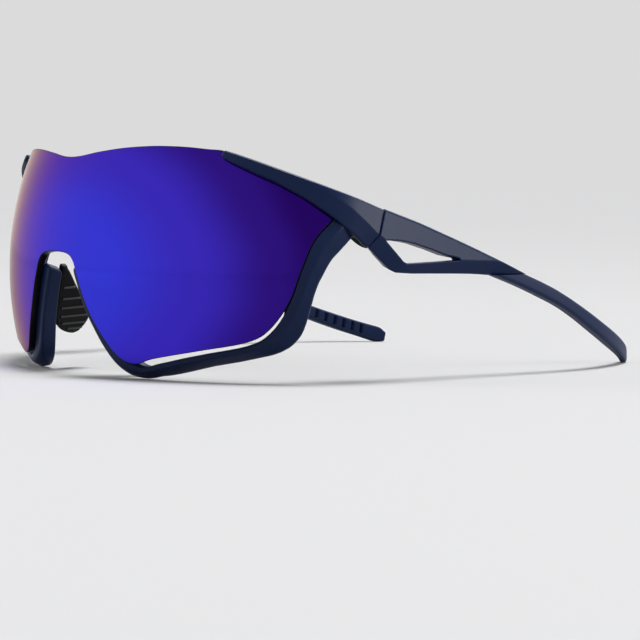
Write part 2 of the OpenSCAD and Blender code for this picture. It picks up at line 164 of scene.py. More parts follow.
def withSoftEnds(rings, firstRadius, lastRadius):
    first = (rings[0][0] - rings[1][0]).normalized()
    last = (rings[-1][0] - rings[-2][0]).normalized()
    return softEnd(rings[0], first, firstRadius)[::-1] + rings + softEnd(rings[-1], last, lastRadius)


def skin(rings):
    size = len(rings[0])
    verts = [p for ring in rings for p in ring]
    faces = []
    for i in range(len(rings) - 1):
        for j in range(size):
            k = (j + 1) % size
            faces.append((i * size + j, i * size + k, (i + 1) * size + k, (i + 1) * size + j))
    last = (len(rings) - 1) * size
    return verts, faces + [tuple(range(size)), tuple(range(last, last + size))]


def applied(piece):
    bpy.context.view_layer.update()
    graph = bpy.context.evaluated_depsgraph_get()
    result = bpy.data.meshes.new_from_object(piece.evaluated_get(graph), depsgraph=graph)
    piece.modifiers.clear()
    piece.data = result


def newObject(name, data):
    holder = bpy.data.objects.new(name, data)
    bpy.context.scene.collection.objects.link(holder)
    return holder


def newPiece(name, materials, verts, edges, faces):
    mesh = bpy.data.meshes.new(name)
    mesh.from_pydata(verts, edges, faces)
    for material in materials:
        mesh.materials.append(material)
    return newObject(name, mesh)


def smoothPiece(piece, sharpAngle=40, weld=0.0005):
    mesh = piece.data
    work = bmesh.new()
    work.from_mesh(mesh)
    bmesh.ops.remove_doubles(work, verts=work.verts, dist=weld * mm)
    bmesh.ops.recalc_face_normals(work, faces=work.faces)
    work.to_mesh(mesh)
    work.free()
    mesh.polygons.foreach_set("use_smooth", [True] * len(mesh.polygons))
    mesh.set_sharp_from_angle(angle=math.radians(sharpAngle))
    weighted = piece.modifiers.new("flatFaces", "WEIGHTED_NORMAL")
    weighted.keep_sharp = True
    applied(piece)


def bevelPiece(piece, width, segments, edgeAngle=None):  # without an angle, the edges' weights say where
    mesh = piece.data
    mesh.polygons.foreach_set("use_smooth", [True] * len(mesh.polygons))
    bevel = piece.modifiers.new("softEdges", "BEVEL")
    bevel.limit_method = "WEIGHT"
    if edgeAngle:
        bevel.limit_method = "ANGLE"
        bevel.angle_limit = math.radians(edgeAngle)
    bevel.width = width * mm
    bevel.segments = segments
    bevel.harden_normals = True
    applied(piece)


def settle(piece, body, node):
    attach(piece, body)
    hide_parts(node)


def placed(verts, sign):
    return [(sign * v.x * mm, v.y * mm + foreY, v.z * mm) for v in verts]


def twoSides(part, shapes, material, body):
    verts, faces = [], []
    for points, shapeFaces in shapes:
        faces += [tuple(i + len(verts) for i in face) for face in shapeFaces]
        verts += points
    for side, sign in sideSigns.items():
        piece = newPiece(f"{part}_{side}_look", (material,), placed(verts, sign), [], faces)
        smoothPiece(piece)
        settle(piece, body.format(side), f"{part}_{side}")


# Shader helpers, and the grain that all moulded finishes share
def feed(tree, node, values):  # a value is a constant or another node's output
    for label, value in values.items():
        if isinstance(value, bpy.types.NodeSocket):
            tree.links.new(value, node.inputs[label])
        else:
            node.inputs[label].default_value = value


def newNode(tree, kind, values):
    node = tree.nodes.new(kind)
    feed(tree, node, values)
    return node


def mathNode(tree, operation, first, second=0):
    node = newNode(tree, "ShaderNodeMath", {0: first, 1: second})
    node.operation = operation
    return node.outputs[0]


def colourMix(tree, factor, first, second):
    node = tree.nodes.new("ShaderNodeMix")
    node.data_type = "RGBA"
    feed(tree, node, {0: factor, 6: first, 7: second})  # sockets 6 and 7 are the two colours
    return node.outputs[2]


def noiseNode(tree, where, scale, detail):
    node = newNode(tree, "ShaderNodeTexNoise", {"Vector": where, "Scale": scale, "Detail": detail})
    return node.outputs["Fac"]


def objectSpot(tree):
    return tree.nodes.new("ShaderNodeTexCoord").outputs["Object"]


def roughness(tree, noise, spread, least):
    return mathNode(tree, "ADD", mathNode(tree, "MULTIPLY", noise, spread), least)


def bumpNormal(tree, height, finish):
    sizes = {"Height": height, "Strength": finish["bump"], "Distance": finish["bumpDepth"]}
    return newNode(tree, "ShaderNodeBump", sizes).outputs["Normal"]


mould = {"fineDetail": 3, "cloudShare": 0.03, "cloudDetail": 2}


def mouldGrainGroup():
    tree = bpy.data.node_groups.new("mouldGrain", "ShaderNodeTree")
    inputs = {"Colour": "Color", "Worn Colour": "Color", "Grain Scale": "Float", "Tone": "Float",
              "Roughness": "Float", "Rough Spread": "Float"}
    outputs = {"Colour": "Color", "Roughness": "Float", "Height": "Float"}
    for way, sockets in (("INPUT", inputs), ("OUTPUT", outputs)):
        for label, kind in sockets.items():
            tree.interface.new_socket(label, in_out=way, socket_type="NodeSocket" + kind)
    given = tree.nodes.new("NodeGroupInput").outputs
    where = objectSpot(tree)
    fine = noiseNode(tree, where, given["Grain Scale"], mould["fineDetail"])
    cloudScale = mathNode(tree, "MULTIPLY", given["Grain Scale"], mould["cloudShare"])
    cloud = noiseNode(tree, where, cloudScale, mould["cloudDetail"])
    share = mathNode(tree, "MULTIPLY", cloud, given["Tone"])
    swing = mathNode(tree, "SUBTRACT", fine, 0.5)  # noise lies about a half
    swing = mathNode(tree, "MULTIPLY", swing, given["Rough Spread"])
    newNode(tree, "NodeGroupOutput", {
        "Colour": colourMix(tree, share, given["Colour"], given["Worn Colour"]),
        "Roughness": mathNode(tree, "ADD", given["Roughness"], swing), "Height": fine})
    return tree


mouldGrain = mouldGrainGroup()


def newMaterial(name):
    material = bpy.data.materials.new(name)
    material.use_nodes = True
    return material, material.node_tree, material.node_tree.nodes["Principled BSDF"]


def mouldedMaterial(name, finish):
    material, tree, surface = newMaterial(name)
    grain = tree.nodes.new("ShaderNodeGroup")
    grain.node_tree = mouldGrain
    feed(tree, grain, {
        "Colour": (*finish["colour"], 1), "Worn Colour": (*finish["worn"], 1), "Tone": finish["tone"],
        "Grain Scale": finish["grainScale"], "Roughness": finish["roughness"],
        "Rough Spread": finish["roughSpread"]})
    feed(tree, surface, {
        "Base Color": grain.outputs["Colour"], "Roughness": grain.outputs["Roughness"],
        "Specular IOR Level": finish["specular"],
        "Normal": bumpNormal(tree, grain.outputs["Height"], finish)})
    return material


finishes = {
    "satinNavy": {
        "colour": (0.003, 0.014, 0.062), "worn": (0.006, 0.019, 0.076), "grainScale": 2600, "tone": 0.7,
        "roughness": 0.34, "roughSpread": 0.12, "bump": 0.12, "bumpDepth": 0.00005, "specular": 0.18},
    "softNavy": {
        "colour": (0.004, 0.016, 0.066), "worn": (0.008, 0.021, 0.080), "grainScale": 3400, "tone": 0.8,
        "roughness": 0.5, "roughSpread": 0.16, "bump": 0.22, "bumpDepth": 0.00006, "specular": 0.25},
    "blackRubber": {
        "colour": (0.003, 0.003, 0.004), "worn": (0.007, 0.007, 0.008), "grainScale": 3000, "tone": 0.8,
        "roughness": 0.4, "roughSpread": 0.18, "bump": 0.2, "bumpDepth": 0.00006, "specular": 0.08},
    # The ribs' rubber is glossier, and its lighter colour is a painted glint along the rib tops
    "ribRubberPaintedGlint": {
        "colour": (0.020, 0.020, 0.022), "worn": (0.034, 0.034, 0.037), "grainScale": 3000, "tone": 0.8,
        "roughness": 0.3, "roughSpread": 0.15, "bump": 0.15, "bumpDepth": 0.00005, "specular": 0.4},
    # Near black: partly the hinge block's own black, partly painted shade of its shaded underside
    "blackNylonAndPaintedShade": {
        "colour": (0.0015, 0.0015, 0.002), "worn": (0.003, 0.003, 0.004), "grainScale": 3600, "tone": 0.6,
        "roughness": 0.55, "roughSpread": 0.15, "bump": 0.15, "bumpDepth": 0.00004, "specular": 0.03},
}
satinNavy, softNavy, blackRubber, ribRubberPaintedGlint, blackNylonAndPaintedShade = (
    mouldedMaterial(name, finishes[name]) for name in finishes)


steel = {
    "colour": (0.50, 0.51, 0.53), "dark": (0.33, 0.33, 0.35), "brush": 9000, "brushDetail": 4,
    "stretch": (1, 0.06, 1), "roughness": 0.18, "roughSpread": 0.2, "bump": 0.1, "bumpDepth": 0.00003}


def steelMaterial():
    material, tree, surface = newMaterial("brushedSteel")
    stretch = newNode(tree, "ShaderNodeMapping", {"Vector": objectSpot(tree), "Scale": steel["stretch"]})
    lines = noiseNode(tree, stretch.outputs["Vector"], steel["brush"], steel["brushDetail"])
    feed(tree, surface, {
        "Base Color": colourMix(tree, lines, (*steel["dark"], 1), (*steel["colour"], 1)), "Metallic": 1,
        "Roughness": roughness(tree, lines, steel["roughSpread"], steel["roughness"]),
        "Normal": bumpNormal(tree, lines, steel)})
    return material


brushedSteel = steelMaterial()

# The lens: a mirror coat from blue to violet, whose brighter blue centre is partly a painted reflection of a
# soft lamp, and a dark back and edge
# The coat's ramp is partly the coat's own hue and partly painted reflection: the bright blue centre stands
# for a soft lamp's reflection
coat = {
    "ramp": [(0.28, (0.046, 0.052, 0.88)), (0.62, (0.056, 0.030, 0.64)), (0.86, (0.036, 0.009, 0.27)),
             (1.0, (0.024, 0.003, 0.15))],
    "centre": (0.5, 0.42), "widen": 2.0, "driftScale": 2.2, "driftDetail": 1, "drift": 0.08,
    "edgeTint": (1.0, 0.62, 0.42), "sheen": 0.35, "sheenTint": (1.0, 0.88, 0.9), "sheenRoughness": 0.25,
    "hazeScale": 14, "hazeDetail": 2, "haze": 0.03, "roughness": 0.10}
bareLens = {
    "cloudScale": 30, "fineScale": 600, "detail": 2, "roughSpread": 0.05, "index": 1.58,
    "lensBack": {
        "colour": (0.010, 0.009, 0.014), "tone": (0.016, 0.012, 0.022), "roughness": 0.06, "specular": 0.5},
    "lensEdge": {
        "colour": (0.002, 0.002, 0.003), "tone": (0.004, 0.004, 0.006), "roughness": 0.3, "specular": 0.12}}


def lensCoatMaterial():
    material, tree, surface = newMaterial("lensCoat")
    spot = tree.nodes.new("ShaderNodeUVMap")
    spot.uv_map = "lensMap"
    where = spot.outputs["UV"]
    split = newNode(tree, "ShaderNodeSeparateXYZ", {0: where})
    sideways = mathNode(tree, "SUBTRACT", split.outputs["X"], coat["centre"][0])
    sideways = mathNode(tree, "MULTIPLY", mathNode(tree, "ABSOLUTE", sideways), coat["widen"])
    upward = mathNode(tree, "SUBTRACT", split.outputs["Y"], coat["centre"][1])
    squares = [mathNode(tree, "POWER", way, 2) for way in (sideways, upward)]
    reach = mathNode(tree, "SQRT", mathNode(tree, "ADD", *squares))
    drift = noiseNode(tree, where, coat["driftScale"], coat["driftDetail"])
    reach = mathNode(tree, "ADD", reach, mathNode(tree, "MULTIPLY", drift, coat["drift"]))
    haze = noiseNode(tree, where, coat["hazeScale"], coat["hazeDetail"])
    # Colour from the ramp, bright blue at the centre to dark violet at the edges: partly the coat's own hue,
    # partly painted reflection
    ramp = newNode(tree, "ShaderNodeValToRGB", {"Fac": reach})
    ramp.color_ramp.interpolation = "EASE"
    stops = ramp.color_ramp.elements
    stops.remove(stops[1])
    for at, colour in coat["ramp"]:
        stop = stops[0] if at == coat["ramp"][0][0] else stops.new(at)
        stop.position = at
        stop.color = (*colour, 1)
    feed(tree, surface, {
        "Base Color": ramp.outputs["Color"], "Metallic": 1, "Specular Tint": (*coat["edgeTint"], 1),
        "Sheen Weight": coat["sheen"], "Sheen Roughness": coat["sheenRoughness"],
        "Sheen Tint": (*coat["sheenTint"], 1),
        "Roughness": roughness(tree, haze, coat["haze"], coat["roughness"])})
    return material


def bareLensMaterial(name):
    finish = bareLens[name]
    material, tree, surface = newMaterial(name)
    where = objectSpot(tree)
    cloud = noiseNode(tree, where, bareLens["cloudScale"], bareLens["detail"])
    fine = noiseNode(tree, where, bareLens["fineScale"], bareLens["detail"])
    feed(tree, surface, {
        "Base Color": colourMix(tree, cloud, (*finish["colour"], 1), (*finish["tone"], 1)),
        "Roughness": roughness(tree, fine, bareLens["roughSpread"], finish["roughness"]),
        "IOR": bareLens["index"], "Specular IOR Level": finish["specular"]})
    return material


lensCoat = lensCoatMaterial()
lensBack = bareLensMaterial("lensBack")
lensEdge = bareLensMaterial("lensEdge")
print("materials ready")

# Lens outline, as shares of its half width and heights
lens = {
    "half": 84.0, "rise": 33.5, "drop": 22.0, "crownDip": 2.0, "cornerRise": 15.3, "notchHalf": 29.0,
    "notchRise": 6.3, "thickness": 2.0, "edgeRound": 0.22, "edgeTurns": (30, 60, 90), "columns": 9,
    "rows": 46, "sharpAngle": 60,
    "notchShape": [(0, 0), (0.2, 0.02), (0.29, 0.085), (0.345, 0.2), (0.49, 0.52), (0.675, 0.8),
                   (0.83, 0.955), (1, 1)],
    "sideShape": [(0.11, 0.043), (0.36, 0.109), (0.59, 0.172), (0.7, 0.26), (0.794, 0.45), (0.85, 0.665),
                  (0.907, 0.853), (1, 1)],
    "topShape": [(0, 1), (0.05, 0.9), (0.095, 0.66), (0.13, 0.44), (0.18, 0.2), (0.226, 0), (0.274, -0.16),
                 (0.333, -0.28), (0.405, -0.33), (0.5, -0.18), (0.585, 0.16)],
    "tipTop": 0.52, "tipPast": 0.4, "tuckedAt": [0.085, 0.25, 0.44, 0.626], "tuck": 2.0}
brow = {
    "length": 43.8, "height": 9.3, "thickness": 5.0, "proud": 2.2, "seamRise": 16.9, "seamReach": 14.1,
    "tipDrop": 0.95, "tipLean": 0.35, "seamLead": [(0, 0), (0.7, 0.25), (1, 0.56)], "upperFacet": 0.15,
    "lowerFacet": 1.3, "topFacet": 0.45, "topShare": 0.2, "innerLean": 0.9, "lowWall": 0.9, "innerLow": 0.82,
    "thickPast": 3.0, "thickStep": 0.004, "steps": 110, "lowSteps": 80, "seat": 0.12, "endRound": 0.3,
    "tipRound": 1.0, "radii": (0.2, 0.6, 0.4, 0.2, 0.3, 0.3, 0.2), "seamCrease": 0.2,
    "bow": [(0, -0.05), (0.05, 0.1), (0.2, 0.15), (0.5, 0.15), (0.65, 0.25), (0.85, 0.4), (1, 0.3)],
    "depth": [(0, 0.19), (0.05, 0.235), (0.11, 0.262), (0.26, 0.31), (0.356, 0.327), (0.55, 0.455),
              (0.72, 0.632), (0.863, 0.834), (1, 1.015)],
    "crease": [(0, 0.3), (0.3, 0.16), (0.49, 0.12), (0.66, 0.3), (0.84, 0.49), (1, 0.69)],
    "face": [(0, 0.6), (0.1, 0.95), (0.25, 1.25), (0.5, 1.3), (0.75, 1.08), (1, 1)],
    "ease": {"bow": 0.05, "depth": 0.03, "crease": 0.03, "face": 0.06}}
seamA = lens["half"] + brow["seamReach"]
tipA = seamA - brow["length"]


def browAt(name, f):
    return easedUp(brow[name], f, brow["ease"][name])


def browTop(f):
    h = mix(lens["rise"] - brow["tipDrop"], brow["seamRise"], f) + browAt("bow", f)
    return Vector((tipA + f * brow["length"], h))


def browDown(f, v):
    d = brow["height"] * browAt("depth", f)
    return -d * Vector((mix(brow["tipLean"] * v, lookUp(brow["seamLead"], v), f * f), v))


lowEdge = [
    Vector((f * lens["notchHalf"], lens["notchRise"] - g * (lens["notchRise"] + lens["drop"])))
    for f, g in lens["notchShape"]]
lowEdge += [
    Vector((mix(lens["notchHalf"], lens["half"], f), g * (lens["cornerRise"] + lens["drop"]) - lens["drop"]))
    for f, g in lens["sideShape"]]
topEdge = [Vector((f * lens["half"], lens["rise"] - g * lens["crownDip"])) for f, g in lens["topShape"]]
topEdge.append(Vector((tipA + lens["tipPast"], lens["rise"] - lens["tipTop"] * lens["crownDip"])))
topEdge += [browTop(f) - Vector((0, lens["tuck"])) for f in lens["tuckedAt"]]
cornerU = len(lowEdge) - 1
browLow = [tuple(browTop(f) + browDown(f, 1)) for f in spaced(0, 1, brow["lowSteps"])]


def mirrored(points, u):
    q = onCurve(points, abs(u), True)
    return Vector((-q.x, q.y)) if u < 0 else q


def loopNormals(loop):
    normals = []
    for before, after in zip(loop[-1:] + loop[:-1], loop[1:] + loop[:1]):
        run = (after - before).normalized()
        normals.append(Vector((-run.y, run.x)))
    return normals


def buildLens():
    last = cornerU * lens["columns"]
    rows = lens["rows"]
    places = [k / lens["columns"] for k in range(-last, last + 1)]
    top = [mirrored(topEdge, u) for u in places]
    low = [mirrored(lowEdge, u) for u in places]
    sideRows = [r / rows for r in range(1, rows)]
    loop = top + [mix(top[-1], low[-1], r) for r in sideRows] + low[::-1]
    loop += [mix(low[0], top[0], r) for r in sideRows]
    normals = loopNormals(loop)
    width = len(places)
    size = len(loop)
    loopAt = {}
    for i in range(width):
        loopAt[(i, 0)] = i
        loopAt[(i, rows)] = width + rows - 1 + (width - 1 - i)
    for r in range(1, rows):
        loopAt[(width - 1, r)] = width + r - 1
        loopAt[(0, r)] = 2 * width + rows - 1 + (rows - 1 - r)
    flat, depth, faces, kinds = [], [], [], []  # kinds: 0 coat, 1 back, 2 edge

    def inset(k, distance):
        return loop[k] - normals[k] * distance

    def grid(p):
        start = len(flat)
        for r in range(rows + 1):
            for i in range(width):
                if (i, r) in loopAt:
                    q = inset(loopAt[(i, r)], lens["edgeRound"])
                else:
                    upper = inset(loopAt[(i, 0)], lens["edgeRound"])
                    q = mix(upper, inset(loopAt[(i, rows)], lens["edgeRound"]), r / rows)
                flat.append(q)
                depth.append(p)
        for r in range(rows):
            for i in range(width - 1):
                c = start + r * width + i
                faces.append((c, c + 1, c + width + 1, c + width))
                kinds.append(0 if p == 0 else 1)
        ring = [0] * size
        for (i, r), k in loopAt.items():
            ring[k] = start + r * width + i
        return ring

    front = grid(0)
    back = grid(-lens["thickness"])
    rounding = []
    for turn in lens["edgeTurns"]:
        angle = math.radians(turn)
        rounding.append([lens["edgeRound"] * (1 - turned) for turned in (math.sin(angle), math.cos(angle))])
    edgeRows = [(d, -p) for d, p in rounding] + [(d, p - lens["thickness"]) for d, p in rounding[::-1]]
    rings = [front]
    for d, p in edgeRows:
        rings.append(list(range(len(flat), len(flat) + size)))
        flat.extend(inset(k, d) for k in range(size))
        depth.extend([p] * size)
    rings.append(back)
    for ring, following in zip(rings, rings[1:]):
        for k in range(size):
            j = (k + 1) % size
            faces.append((ring[k], ring[j], following[j], following[k]))
            kinds.append(2)
    verts = placed([onShell(q.x, q.y, p) for q, p in zip(flat, depth)], 1)
    piece = newPiece("shield_lens_look", (lensCoat, lensBack, lensEdge), verts, [], faces)
    mesh = piece.data
    mesh.polygons.foreach_set("material_index", kinds)
    uv = mesh.uv_layers.new(name="lensMap")
    for corner in mesh.loops:
        q = flat[corner.vertex_index]
        across = q.x / lens["half"] / 2 + 0.5
        up = (q.y + lens["drop"]) / (lens["rise"] + lens["drop"])
        uv.data[corner.index].uv = (across, up)
    smoothPiece(piece, lens["sharpAngle"])
    settle(piece, "front", "shield_lens")


buildLens()
print("lens made")

# Brow arms
seatP = -lens["thickness"] - brow["seat"]
innerP = brow["proud"] - brow["thickness"]
thickF = (lens["half"] + brow["thickPast"] - tipA) / brow["length"]
lip = {"from": 0.52, "to": thickF + 0.07, "top": 0.12, "low": 0.93, "thickness": 1.5, "steps": 24}


def browPoint(f, v, p):
    q = browTop(f) + browDown(f, v)
    return onShell(q.x, q.y, p)


def browRing(f, thick):
    d = -browDown(f, 1).y
    face = brow["proud"] * browAt("face", f)
    edge = face - brow["lowerFacet"] * f
    topIn = innerP + brow["innerLean"] if thick else brow["seat"]
    lowIn = innerP if thick else brow["seat"]
    lowWall = edge - brow["lowWall"] if thick else (edge + lowIn) / 2
    lowV = brow["innerLow"] if thick else 1  # the inner side is drawn up out of sight
    corners = pairs([
        (min(brow["topFacet"], brow["topShare"] * d), face + brow["upperFacet"] * f),
        (browAt("crease", f) * d, face), (d, edge), (d, lowWall), (lowV * d, lowIn), (0, topIn),
        (0, face - brow["topFacet"])])
    radii = list(brow["radii"])
    radii[1] = mix(radii[1], brow["seamCrease"], f)
    return [browPoint(f, q.x / d, q.y) for q in roundCorners(corners, radii)]


def lipRing(f):
    rear = seatP - lip["thickness"]
    corners = pairs([(lip["top"], seatP), (lip["low"], seatP), (lip["low"], rear), (lip["top"], rear)])
    return [browPoint(f, q.x, q.y) for q in corners]


def buildBrowArms():
    step = brow["thickStep"]
    firstF = brow["tipRound"] / brow["length"]
    lastF = 1 - brow["endRound"] / brow["length"]
    places = spaced(firstF, lastF, brow["steps"])
    rings = [browRing(f, False) for f in places if f < thickF - 2 * step]
    rings += [browRing(thickF - step, False), browRing(thickF + step, True)]
    rings += [browRing(f, True) for f in places if f > thickF + 2 * step]
    lips = [lipRing(f) for f in spaced(lip["from"], lip["to"], lip["steps"])]
    shapes = [skin(withSoftEnds(rings, brow["tipRound"], brow["endRound"])), skin(lips)]
    twoSides("brow_arm", shapes, satinNavy, "front")


buildBrowArms()
print("brow arms made")

# Lower rims: places along the lens's lower edge, counted in outline points
rim = {
    "depth": 4.1, "postDepth": 4.0, "postWall": 3.2, "postU": 2.4, "postSlant": 0.35, "slantOver": 1.2,
    "postLip": 3.5, "steps": 260, "topRound": 1.0, "topU": cornerU + 0.6, "clear": brow["seat"], "tuck": 0.4,
    "tuckBelow": 0.4, "runStep": 0.05, "halvings": 24, "radii": (0.35, 0.5, 0.8, 0.6, 0.5, 0.2, 0.1),
    "edgeShare": 0.25}
rimLines = {  # how far each is eased, and its values along the edge
    "gap": (0.2, [
        (4.9, rim["clear"]), (5.4, 0.4), (6, 0.8), (6.5, 1.2), (7, 1.5), (7.7, 1.8), (8.2, 1.8), (8.55, 1.5),
        (8.9, 1.35), (9.7, 1.15), (10.1, 1.05), (10.8, 0.75), (11.5, 0.5), (12.1, rim["clear"])]),
    "shelf": (0.1, [(6.7, 0), (7.4, 1)]),
    "outer": (0.25, [
        (3, rim["postLip"]), (4.3, 3.5), (4.85, 3.95), (5.5, 4.35), (6, 4.55), (6.5, 4.8), (7, 5.05),
        (7.5, 5.55), (8.1, 6.2), (8.5, 6.05), (9, 5.5), (10, 5.25), (10.5, 5.9), (10.9, 6.8), (11.3, 7.2),
        (11.65, 6.7), (11.9, 5.9), (12.2, 5.2), (12.6, 5.1), (13.3, 5.85), (13.8, 6.6), (14.2, 7.0),
        (14.8, 7.15), (15.3, 7.6)]),
    "ledge": (0.3, [
        (2.4, -0.2), (3.2, 2.0), (4, rim["postWall"]), (5, 2.8), (5.8, 2.0), (6.4, 0.8), (7.0, -0.4),
        (7.6, -0.8), (11.4, -0.8), (11.6, 0), (11.9, 1.8)]),
    "face": (0.3, [
        (5, -1.75), (5.5, -1.5), (6, -1.3), (6.5, -1.2), (7, -1.3), (8, -1.7), (10, -1.6), (11, -0.6),
        (12, 0.1)]),
    "ridge": (0.3, [(5, 0.85), (6, 0.6), (7, 0.4), (8, 0.3), (10.5, 0.25), (11.5, 0.34), (12.5, 0.4)]),
    "lift": (0.3, [(5, -0.1), (6, -0.1), (7, 0.2), (8, 0.5), (11.3, 0.5), (12.3, 0.75), (15, 0.8)]),
    "slope": (0.3, [(5, 0.45), (6, 1.0), (7, 1.8), (8, 2.2), (10, 2.0), (11, 1.3), (12, 1.0), (15, 0.9)]),
    "rear": (0.35, [
        (5, seatP - rim["postDepth"]), (6, -5.8), (7, -5.2), (8, -rim["depth"] - 0.4), (10, -rim["depth"])]),
    "flare": (0.25, [(4, -0.3), (5, 0), (6, 0.3), (6.6, 0.5), (7, 0.4), (7.6, 0)])}


def rimAt(name, u):
    ease, values = rimLines[name]
    return easedUp(values, u, ease)


def rimSpot(u, b):
    run = onCurve(lowEdge, u + rim["runStep"], True) - onCurve(lowEdge, u - rim["runStep"], True)
    return onCurve(lowEdge, u, True) + Vector((run.y, -run.x)).normalized() * b


def rimPoint(u, b, p):
    q = rimSpot(u, b)
    return onShell(q.x, q.y, p)


def underBrow(u, b, p):
    if u < cornerU - 1:
        return u
    first, last = cornerU - 1, rim["topU"]
    # Deeper points reach behind the arm's lip
    tuck = rim["tuck"] * max(0, rim["tuckBelow"] - p) - rim["clear"]
    for _ in range(rim["halvings"]):  # the rim stops where it meets the brow arm's lower edge
        middle = (first + last) / 2
        q = rimSpot(middle, b)
        if q.y < lookUp(browLow, q.x) + tuck:
            first = middle
        else:
            last = middle
    return min(u, first)


def rimRing(u):
    gap, outer, face, rear = (rimAt(name, u) for name in ("gap", "outer", "face", "rear"))
    width = outer - gap
    back = outer + rimAt("flare", u)
    ledge = gap - rimAt("ledge", u)
    shelf = mix(rim["clear"], gap, rimAt("shelf", u))
    ridge = gap + width * rimAt("ridge", u)
    corners = pairs([
        (gap, face), (ridge, face + rimAt("lift", u)), (outer, face - rimAt("slope", u)),
        (back, rear), (ledge, rear), (ledge, seatP), (shelf, seatP)])
    radii = list(rim["radii"])
    radii[2] = min(radii[2], width * rim["edgeShare"])
    # The post's top falls away backwards
    slant = rim["postSlant"] * max(0, 1 - (u - rim["postU"]) / rim["slantOver"])
    ring = []
    for q in roundCorners(corners, radii):
        p = rimPoint(underBrow(u - slant * q.y / rim["postDepth"], q.x, q.y), q.x, q.y)
        ring.append(Vector((p.x, p.y, max(p.z, 0))))
    return ring


def buildRims():
    rings = [rimRing(u) for u in spaced(rim["postU"], rim["topU"], rim["steps"])]
    onward = (rings[0][0] - rings[1][0]).normalized()
    rings = softEnd(rings[0], onward, rim["topRound"])[::-1] + rings
    twoSides("lower_rim", [skin(rings)], satinNavy, "front")


buildRims()
print("lower rims made")


# Geometry Nodes helpers
def newTree(name, inputs):
    tree = bpy.data.node_groups.new(name, "GeometryNodeTree")
    names = {}
    for label, kind in {"Geometry": "Geometry", **inputs}.items():
        socket = tree.interface.new_socket(label, in_out="INPUT", socket_type="NodeSocket" + kind)
        names[label] = socket.identifier
    tree.interface.new_socket("Geometry", in_out="OUTPUT", socket_type="NodeSocketGeometry")
    return tree, names, tree.nodes.new("NodeGroupInput").outputs


def endTree(tree, geometry, material):
    real = newNode(tree, "GeometryNodeRealizeInstances", {"Geometry": geometry})
    painted = {"Geometry": real.outputs["Geometry"], "Material": material}
    paint = newNode(tree, "GeometryNodeSetMaterial", painted)
    newNode(tree, "NodeGroupOutput", {"Geometry": paint.outputs["Geometry"]})


def runTree(piece, tree, names, values):
    modifier = piece.modifiers.new(tree.name, "NODES")
    modifier.node_group = tree
    for label, value in values.items():
        modifier[names[label]] = value
    applied(piece)


def ribTree():
    tree, names, given = newTree("padRibs", {"Rib Radius": "Float", "Sides": "Int", "Material": "Material"})
    line = newNode(tree, "GeometryNodeMeshToCurve", {"Mesh": given["Geometry"]})
    ring = newNode(tree, "GeometryNodeCurvePrimitiveCircle", {
        "Radius": given["Rib Radius"], "Resolution": given["Sides"]})
    tube = newNode(tree, "GeometryNodeCurveToMesh", {
        "Curve": line.outputs["Curve"], "Profile Curve": ring.outputs["Curve"], "Fill Caps": True})
    endTree(tree, tube.outputs["Mesh"], given["Material"])
    return tree, names


# Nose pads: soft ribbed blades behind the posts, with ribs in a glossier rubber whose lighter colour is a
# painted glint
pad = {
    "fromU": 2.55, "toU": 5.5, "reach": 11.0, "thickness": 2.6, "splay": 0.35, "seat": 0.12, "steps": 70,
    "shear": 0.5, "endRound": 0.7, "endShare": 0.04, "nose": 1.7, "deep": 0.8, "ease": 0.06, "halvings": 30,
    "radii": (1.1, 1.2, 1.2, 1.1), "cornerSteps": 6,
    "ribs": 6, "ribFrom": 0.289, "ribTo": 0.83, "ribRadius": 0.32, "ribTilt": 0.03, "ribSides": 12,
    "ribSteps": 24, "ribStart": 1.7, "ribNear": 1.3, "ribRear": 0.9,
    "front": [(0, -0.8), (0.67, -0.8), (0.78, 0.6), (0.86, 2.4), (0.94, 4.3), (1, 6)],
    "shape": [(0, 0.08), (0.14, 0.27), (0.28, 0.55), (0.41, 0.82), (0.55, 1), (0.67, 1), (0.78, 0.93),
              (0.86, 0.86), (0.94, 0.77), (1, 0.66)]}
padP = seatP - rim["postDepth"] - pad["seat"] - pad["deep"]


def padSize(t):
    u = mix(pad["fromU"], pad["toU"], t)
    return u, easedUp(pad["front"], t, pad["ease"]), pad["reach"] * easedUp(pad["shape"], t, pad["ease"])


def padPoint(u, b, inward):
    return rimPoint(u + pad["shear"] * inward / pad["reach"], b - pad["splay"] * inward, padP - inward)


def levelU(z, b, inward):
    first, last = pad["fromU"] - 1, pad["toU"] + 1
    for _ in range(pad["halvings"]):
        u = (first + last) / 2
        if padPoint(u, b, inward).z > z:
            first = u
        else:
            last = u
    return u


def padRing(t):
    u, front, d = padSize(t)
    nose, rear = pad["nose"], pad["nose"] - pad["thickness"]
    corners = pairs([(nose, front), (nose, d), (rear, d), (rear, front)])
    return [padPoint(u, q.x, q.y) for q in roundCorners(corners, pad["radii"], pad["cornerSteps"])]


def padRib(t):
    u, front, d = padSize(t)
    nose = pad["nose"]
    middle = (front + d) / 2
    height = padPoint(u, nose, middle).z
    line = []
    for inward in spaced(front + pad["ribStart"], d - pad["ribRear"], pad["ribSteps"]):
        at = levelU(height + pad["ribTilt"] * (inward - middle), nose, inward)
        _, near, far = padSize((at - pad["fromU"]) / (pad["toU"] - pad["fromU"]))
        if near + pad["ribNear"] <= inward <= far - pad["ribRear"]:
            line.append(padPoint(at, nose, inward))
    return line


